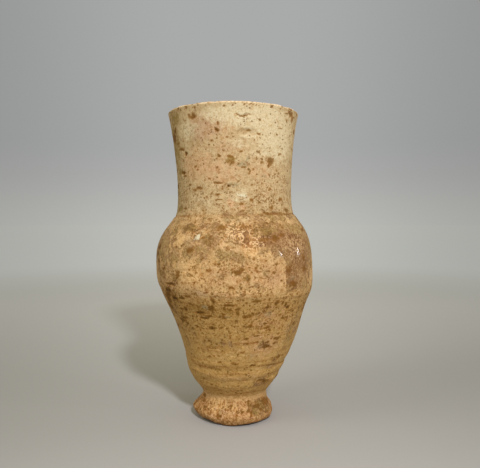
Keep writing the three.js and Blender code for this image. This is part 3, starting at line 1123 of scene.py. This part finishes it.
# Also the darkest part of the painted contact shadow under the foot's edge
DARKEST_DIRT_AND_SHADOW = tone(62, 40, 6)
LIME_SCALE = tone(226, 216, 182)

# The table and what lies behind it
TABLE_RADIUS = 6.0
BLACK = tone(0, 0, 0)
FLOOR_TONE = tone(180, 177, 174)
FAR_FLOOR_PAINTED_LIGHT = tone(222, 220, 223)
HORIZON_TONE = tone(190, 191, 185)
BACKDROP_TONE = tone(169, 170, 170)
DAYLIGHT = tone(252, 250, 224)
DAYLIGHT_STRENGTH = 0.455

# Lamps: azimuth, elevation, distance and size in metres, level, colour
LAMPS = {
    "key": (14.7, 33.4, 0.6, 0.06, 0.74, (0.92, 0.925, 1.0)),
    "left_window": (-65, 35, 1.0, 0.4, 0.15, (1.0, 0.99, 0.88)),
    "right_strip": (70, 8, 1.0, 0.06, 0.08, (1.0, 0.98, 0.95)),
    "far_right_strip": (104, 8, 1.0, 0.06, 0.05, (1.0, 0.98, 0.95)),
}

# Where the lamps point
MIDDLE = Vector((0, 0, 0.09))

# The camera's place, its lens in millimetres of a full frame, and its turns in degrees
CAMERA_PLACE = (0, -0.302, 0.115)
CAMERA_LENS = 39.375
LOOKING_DOWN = 2.07
LOOKING_RIGHT = 0.57


class Value:
    """A socket's value in an expression, which adds Math nodes to the material."""

    def __init__(self, recipe, socket):
        self.recipe = recipe
        self.socket = socket

    def maths(self, operation, *values):
        """The result of a Math node."""
        return self.recipe.node("ShaderNodeMath", {"operation": operation}, dict(enumerate(values)))

    def __add__(self, other):
        return self.maths("ADD", self, other)

    def __sub__(self, other):
        return self.maths("SUBTRACT", self, other)

    def __rsub__(self, other):
        return self.maths("SUBTRACT", other, self)

    def __mul__(self, other):
        return self.maths("MULTIPLY", self, other)

    def __truediv__(self, other):
        return self.maths("DIVIDE", self, other)

    def __rtruediv__(self, other):
        return self.maths("DIVIDE", other, self)

    def __abs__(self):
        return self.maths("ABSOLUTE", self)

    def or_more(self, other):
        """The larger of the two."""
        return self.maths("MAXIMUM", self, other)

    __radd__ = __add__
    __rmul__ = __mul__


class Recipe:
    """The nodes of one material or of the world."""

    def __init__(self, owner):
        owner.use_nodes = True
        self.tree = owner.node_tree
        self.tree.nodes.clear()

    def node(self, kind, settings, values, output=0):
        """Adds a node with its settings and its sockets' values or links, and returns one output."""
        made = self.tree.nodes.new(kind)
        for name, setting in settings.items():
            setattr(made, name, setting)
        for key, value in values.items():
            socket = made.inputs[key]
            if isinstance(value, Value):
                self.tree.links.new(value.socket, socket)
            else:
                socket.default_value = value
        return Value(self, made.outputs[output])

    def show(self, kind, surface):
        """Ends the recipe: what shows is that surface."""
        shown = self.tree.nodes.new(kind)
        self.tree.links.new(surface.socket, shown.inputs["Surface"])

    def mixed(self, share, first, second):
        """The second shader in that share, and the first in the rest."""
        return self.node("ShaderNodeMixShader", {}, {0: share, 1: first, 2: second})

    def amount(self, name):
        """What is written on the surface under that name."""
        return self.node("ShaderNodeAttribute", {"attribute_name": name}, {}, "Fac")

    def position(self, stretched=(1, 1, 1), seed=0):
        """The place on the piece in millimetres, drawn out by the factors given."""
        coordinates = self.node("ShaderNodeTexCoord", {}, {}, "Object")
        scale = [1 / (MM * s) for s in stretched]
        values = {"Vector": coordinates, "Scale": scale, "Location": [seed * CLAY_SEED_STEP] * 3}
        return self.node("ShaderNodeMapping", {}, values)

    def cloudy(self, size, seed, detail=3.0, roughness=0.55, stretched=(1, 1, 1), warped=0.0):
        """Cloudy noise that fills 0 to 1, half of it above 0.5, in patches of that size in millimetres."""
        values = {
            "Vector": self.position(stretched, seed),
            "Scale": 1 / size,
            "Detail": detail,
            "Roughness": roughness,
            "Distortion": warped,
        }
        raw = self.node("ShaderNodeTexNoise", {}, values, "Fac")
        return self.node("ShaderNodeMapRange", {}, {"Value": raw, "From Min": 0.3, "From Max": 0.7})

    def broken(self, name, swing, size, seed, detail, roughness=0.55, warped=0.0):
        """The amount written under that name, broken up by cloudy noise that swings by that much."""
        clouds = self.cloudy(size, seed, detail, roughness, warped=warped)
        return self.amount(name) + clouds * swing - swing / 2

    def ramp(self, value, low, high):
        """0 at low and 1 at high, with a smooth rise between them."""
        values = {"Value": value, "From Min": low, "From Max": high}
        return self.node("ShaderNodeMapRange", {"interpolation_type": "SMOOTHSTEP"}, values)

    def off_to_the_side(self, across, away):
        """0 before and behind the vase, and up to a quarter off to its sides, where less light falls."""
        return self.ramp(abs(across / away), 0.08, 0.5) * 0.25

    def over(self, under, film, cover, how="MIX"):
        """A film laid over what is under it."""
        settings = {"data_type": "RGBA", "blend_type": how, "clamp_factor": True}
        return self.node("ShaderNodeMix", settings, {0: cover, 6: under, 7: film}, 2)

    def soaked(self, under, dye, cover):
        """A dye that darkens what is under it."""
        return self.over(under, dye, cover, "MULTIPLY")

    def specks(self, size, seed, density, largest, stretched):
        """Specks in cells of that size: density is the share of the cells that have one."""
        values = {"Vector": self.position(seed=seed), "Scale": 1.6 / size, "Detail": 2.0}
        ragged = self.node("ShaderNodeTexNoise", {}, values, "Color")
        values = {0: ragged, 1: [1.4 * size] * 3, 2: self.position(stretched, seed)}
        warped = self.node("ShaderNodeVectorMath", {"operation": "MULTIPLY_ADD"}, values)
        cells = {"Vector": warped, "Scale": 1 / size}
        away = self.node("ShaderNodeTexVoronoi", {}, cells, "Distance")
        own = self.node("ShaderNodeTexVoronoi", {}, cells, "Color")
        lot = self.node("ShaderNodeSeparateColor", {}, {"Color": own}, 0)
        share = self.node("ShaderNodeSeparateColor", {}, {"Color": own}, 1)
        reach = self.ramp(lot + density, 0.97, 1.05) * (share * 0.7 + 0.3) * largest
        return self.ramp(reach - away, -0.08, 0.12)


def bare_clay(clay):
    """Orange on shoulder and foot, buff on the neck and ochre on the cone, with pink and pale places."""
    colour = clay.over(SHOULDER_ORANGE, CLOUDED_ORANGE, clay.cloudy(9, 1))
    colour = clay.over(colour, FOOT_ORANGE, clay.amount("scored") * 0.9)
    colour = clay.over(colour, NECK_BUFF, clay.amount("buff"))
    colour = clay.over(colour, CONE_OCHRE, clay.amount("ochre"))
    pink = clay.broken("pink", 0.5, 3, 2, 4)
    colour = clay.over(colour, PINK_CLAY, clay.ramp(pink, 0.2, 0.9) * 0.7)
    mauve = clay.broken("mauve", 0.6, 2.6, 22, 4, 0.6)
    colour = clay.over(colour, MAUVE_CLAY, clay.ramp(mauve, 0.15, 0.8) * 0.7)
    pale = clay.broken("pale", 0.7, 2.6, 24, 5, 0.65)
    return clay.over(colour, PALE_CLAY, clay.ramp(pale, 0.25, 0.75) * 0.8)


def wheel_streaks(clay):
    """Streaks that the wheel drew out level, and upright ones on the foot."""
    level = clay.cloudy(1.3, 3, 3, 0.6, (12, 12, 1))
    broad = clay.cloudy(3.2, 19, 3, 0.6, (12, 12, 1))
    upright = clay.cloudy(1.1, 4, 4, 0.6, (1, 1, 4))
    scored = clay.amount("scored")
    return (level * 0.6 + broad * 0.4) * (1 - scored) + upright * scored


def streaked(clay, colour, streaks):
    """The colour with darker and paler streaks, and darker patches."""
    banded = clay.amount("banded")
    darker = clay.ramp(streaks, 0.5, 0.95) * (banded + clay.amount("scored") * 0.9)
    colour = clay.soaked(colour, STREAK_DYE, darker)
    colour = clay.over(colour, PALE_STREAK, clay.ramp(streaks, 0.45, 0.05) * banded * 0.45)
    patches = clay.cloudy(3.6, 20, 5, 0.65)
    return clay.soaked(colour, PATCH_DYE, clay.ramp(patches, 0.5, 0.9) * 0.5)


def brown_washed(clay, under):
    """The colour under patches of brown wash with darker edges, and where that wash is thick."""
    wash = clay.broken("wash", 0.8, 5, 5, 5, 0.6, warped=0.6)
    rubbed = clay.ramp(clay.cloudy(1.5, 27, 3), 0.58, 0.8)
    thick = clay.ramp(wash, 0.38, 0.52) * (1 - rubbed * 0.6)
    edge = clay.ramp(wash, 0.4, 0.5) * clay.ramp(wash, 0.68, 0.52)
    brown = clay.over(BROWN_WASH, OLIVE_WASH, clay.ramp(clay.cloudy(8, 7), 0.3, 0.7))
    rust = clay.broken("rust", 0.7, 2.4, 8, 4, 0.6)
    brown = clay.over(brown, RUST, clay.ramp(rust, 0.2, 0.7))
    brown = clay.soaked(brown, WASH_EDGE_DYE, edge * 0.5)
    colour = clay.over(under, brown, clay.ramp(wash, 0.0, 0.4) * 0.3)
    return clay.over(colour, brown, thick * 0.85), thick


def laced(clay, colour):
    """The colour with a net of pale threads where the wash is worn through."""
    apart = abs(clay.cloudy(4.0, 21, 3, 0.55, warped=1.4) - 0.5)
    lace = clay.amount("lace")
    colour = clay.soaked(colour, LACE_DYE, clay.ramp(apart, 0.1, 0.2) * lace * 0.9)
    return clay.over(colour, LACE_THREAD, clay.ramp(apart, 0.16, 0.08) * lace * 0.95)


def filmed(clay, colour, streaks):
    """The colour under olive, cream and ash films, worn pale on lip and ridge, with painted highlight and
    shade.
    """
    olive = clay.broken("olive", 0.8, 2.4, 9, 6, 0.7)
    colour = clay.soaked(colour, OLIVE_DYE, clay.ramp(olive, 0.25, 0.85) * 0.9)
    # Cream film, which at one place on the neck is a painted highlight
    cream_and_highlight = clay.broken("cream_and_highlight", 0.6, 2.2, 10, 6, 0.7) + (streaks - 0.5) * 0.3
    colour = clay.over(colour, CREAM_AND_HIGHLIGHT_FILM, clay.ramp(cream_and_highlight, 0.28, 0.85) * 0.8)
    # Ash film, which in the hollow of the neck is a painted shade
    ash_and_shade = clay.broken("ash_and_shade", 0.8, 1.3, 11, 4, 0.7)
    colour = clay.over(colour, ASH_AND_SHADE_FILM, clay.ramp(ash_and_shade, 0.3, 0.9) * 0.6)
    # Pale worn clay, on the lip and the ridge above the foot also a painted highlight
    worn = clay.broken("worn", 0.6, 1.7, 29, 4, 0.7)
    return clay.over(colour, WORN_CLAY_AND_HIGHLIGHT, clay.ramp(worn, 0.15, 0.8) * 0.85)


def grained(clay, colour, coarse, fine, speckled):
    """The colour with the coarse and the fine grain of the clay, darker where specks lie thick."""
    dark_coarse = clay.ramp(coarse, 0.55, 0.85) * (speckled * 0.7 + 0.08)
    dark_fine = clay.ramp(fine, 0.55, 0.9) * (speckled * 0.5 + 0.25)
    colour = clay.soaked(colour, COARSE_GRAIN_DYE, dark_coarse)
    colour = clay.over(colour, PALE_GRAIN, clay.ramp(coarse, 0.4, 0.1) * 0.2)
    colour = clay.soaked(colour, FINE_GRAIN_DYE, dark_fine)
    return clay.over(colour, PALE_GRAIN, clay.ramp(fine, 0.4, 0.1) * 0.2)


def dirtied_and_shaded(clay, colour, specks):
    """The colour under specks, stains and painted shadow, with faint stains round them and in patches
    between.
    """
    dirt = clay.over(BROWN_DIRT, DARK_DIRT, clay.cloudy(7, 23))
    dirt = clay.over(dirt, OLIVE_DIRT, clay.amount("ochre") * 0.5)
    # The stain amount also carries the painted contact shadow under the foot's edge, darkened below with
    # the dirt colours
    stain_and_shadow = clay.broken("stain_and_shadow", 0.7, 0.9, 15, 3, 0.7)
    faint = clay.ramp(clay.cloudy(2.2, 28, 4, 0.7), 0.6, 0.85)
    colour = clay.soaked(colour, STAIN_DYE, clay.ramp(stain_and_shadow, -0.1, 0.4) * 0.6)
    colour = clay.soaked(colour, STAIN_DYE, faint * 0.5)
    colour = clay.over(colour, dirt, specks * 0.85)
    colour = clay.over(colour, dirt, clay.ramp(stain_and_shadow, 0.2, 0.75) * 0.8)
    return clay.over(colour, DARKEST_DIRT_AND_SHADOW, clay.ramp(stain_and_shadow, 0.9, 1.3) * 0.85)


def fired_clay():
    """Low-fired earthenware with everything that lies on it, from the clay outwards."""
    material = bpy.data.materials.new("weathered_earthenware")
    clay = Recipe(material)
    streaks = wheel_streaks(clay)
    coarse = clay.cloudy(1.5, 12, 4, 0.75)
    fine = clay.cloudy(0.65, 17, 2, 0.6)
    speckled = clay.amount("speckled") * (clay.cloudy(5, 26, 3) * 1.3 + 0.35)
    small = clay.specks(1.15, 13, speckled * 0.75, 0.5, (1.2, 1.2, 1))
    large = clay.specks(2.6, 14, speckled * 0.28, 0.34, (1.4, 1.4, 1))
    specks = small.or_more(large)
    lime = clay.ramp(clay.broken("lime", 0.9, 1.0, 16, 4, 0.7), 0.3, 0.9)

    colour = streaked(clay, bare_clay(clay), streaks)
    colour, washed = brown_washed(clay, colour)
    colour = laced(clay, colour)
    colour = filmed(clay, colour, streaks)
    colour = grained(clay, colour, coarse, fine, speckled)
    colour = dirtied_and_shaded(clay, colour, specks)
    colour = clay.over(colour, LIME_SCALE, lime * 0.75)
    # Painted shade inside the mouth
    colour = clay.over(colour, PAINTED_MOUTH_SHADE, clay.amount("hollow") * 0.5)

    relief = coarse * 0.16 + fine * 0.12 + streaks * 0.3 - specks * 0.4 + washed * 0.12 + lime * 0.4
    bump = {"Strength": 0.5, "Distance": 0.35 * MM, "Height": relief}
    values = {
        "Base Color": colour,
        "Roughness": 0.94 - washed * 0.16,
        "Coat Weight": clay.amount("burnished") * clay.ramp(coarse, 0.7, 0.3),
        "Coat Roughness": 0.14,
        "Specular IOR Level": 0.3,
        "Normal": clay.node("ShaderNodeBump", {}, bump),
    }
    clay.show("ShaderNodeOutputMaterial", clay.node("ShaderNodeBsdfPrincipled", {}, values))
    return material


def studio_floor():
    """A wide pale table top, with painted light and shade, that fades into the backdrop far behind the
    vase.
    """
    bm = bmesh.new()
    bmesh.ops.create_circle(bm, cap_ends=True, radius=TABLE_RADIUS, segments=96)
    mesh = bpy.data.meshes.new("table_top")
    bm.to_mesh(mesh)
    bm.free()
    material = bpy.data.materials.new("pale_grey_table")
    grey = Recipe(material)
    place = grey.node("ShaderNodeTexCoord", {}, {}, "Object")
    away = grey.node("ShaderNodeVectorMath", {"operation": "LENGTH"}, {0: place}, "Value")
    across = grey.node("ShaderNodeSeparateXYZ", {}, {0: place}, "X")
    behind = grey.node("ShaderNodeSeparateXYZ", {}, {0: place}, "Y")
    near = grey.node("ShaderNodeBsdfDiffuse", {}, {"Color": FLOOR_TONE})
    farther = grey.node("ShaderNodeBsdfDiffuse", {}, {"Color": FAR_FLOOR_PAINTED_LIGHT})
    glowing_horizon = grey.node("ShaderNodeEmission", {}, {"Color": HORIZON_TONE})
    dark = grey.node("ShaderNodeEmission", {}, {"Color": BLACK})
    # Painted light: the table is lighter further behind the vase
    lit = grey.mixed(grey.ramp(behind, -0.05, 0.4), near, farther)
    # Far off, the table glows in the backdrop's tone, though it is no lamp
    faded = grey.mixed(grey.ramp(away, 0.3, 1.0), lit, glowing_horizon)
    # Painted shade, darker off to the sides
    dimmed = grey.mixed(grey.off_to_the_side(across, away + 0.3), faded, dark)
    grey.show("ShaderNodeOutputMaterial", dimmed)
    mesh.materials.append(material)
    floor = bpy.data.objects.new("table_top", mesh)
    bpy.context.scene.collection.objects.link(floor)


def studio_light():
    """Soft daylight all round, with a grey backdrop where the camera looks past the vase."""
    world = bpy.data.worlds.new("studio")
    bpy.context.scene.world = world
    sky = Recipe(world)
    direction = sky.node("ShaderNodeTexCoord", {}, {}, "Generated")
    across = sky.node("ShaderNodeSeparateXYZ", {}, {0: direction}, "X")
    height = sky.node("ShaderNodeSeparateXYZ", {}, {0: direction}, "Z")
    backdrop = sky.over(HORIZON_TONE, BACKDROP_TONE, sky.ramp(height, -0.05, 0.14))
    # Painted shade: the backdrop is darker off to the sides
    backdrop = sky.over(backdrop, BLACK, sky.off_to_the_side(across, 1))
    rays = ("Is Camera Ray", "Is Glossy Ray", "Is Transmission Ray")
    seen = sum(sky.node("ShaderNodeLightPath", {}, {}, ray) for ray in rays)
    soft = sky.node("ShaderNodeBackground", {}, {"Color": DAYLIGHT, "Strength": DAYLIGHT_STRENGTH})
    shown = sky.node("ShaderNodeBackground", {}, {"Color": backdrop})
    sky.show("ShaderNodeOutputWorld", sky.mixed(seen, soft, shown))


def lamp(name, azimuth, elevation, distance, size, level, colour):
    """A round lamp that shines at the vase from an azimuth and elevation, both as seen from the vase.

    Its level is what it would add to a white surface that faces it.
    """
    data = bpy.data.lights.new(name, "AREA")
    data.shape = "DISK"
    data.size = size
    data.energy = level * (math.pi * distance) ** 2
    data.color = colour
    holder = bpy.data.objects.new(name, data)
    a, e = math.radians(azimuth), math.radians(elevation)
    back = Vector((math.sin(a) * math.cos(e), -math.cos(a) * math.cos(e), math.sin(e)))
    holder.location = MIDDLE + back * distance
    holder.rotation_euler = (-back).to_track_quat("-Z", "Y").to_euler()
    bpy.context.scene.collection.objects.link(holder)


def camera():
    """Just above the middle of the vase, close up, and looking slightly down."""
    data = bpy.data.cameras.new("camera")
    data.lens = CAMERA_LENS
    holder = bpy.data.objects.new("camera", data)
    holder.location = CAMERA_PLACE
    holder.rotation_euler = (math.radians(90 - LOOKING_DOWN), 0, math.radians(-LOOKING_RIGHT))
    bpy.context.scene.collection.objects.link(holder)
    bpy.context.scene.camera = holder


SECTIONS = {
    "foot": (foot_outline, "foot_clay"),
    "lower_body": (lower_body_outline, "body_clay"),
    "shoulder": (shoulder_outline, "shoulder_clay"),
    "neck": (neck_outline, "neck_clay"),
}

earthenware = fired_clay()
for node, (outline, slot) in SECTIONS.items():
    mesh = turned("thrown_" + node, outline())
    surface = Surface(mesh)
    weathered(mesh, surface)
    worked_by_hand(mesh, surface)
    mesh.shade_smooth()
    mesh.set_sharp_from_angle(angle=math.radians(SHARP_ANGLE))
    mesh.materials.append(earthenware)
    piece = bpy.data.objects.new("thrown_" + node, mesh)
    bpy.context.scene.collection.objects.link(piece)
    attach(piece, "root")
    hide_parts(node)

bpy.context.scene.view_settings.view_transform = "Standard"
studio_floor()
studio_light()
for name, settings in LAMPS.items():
    lamp(name, *settings)
camera()
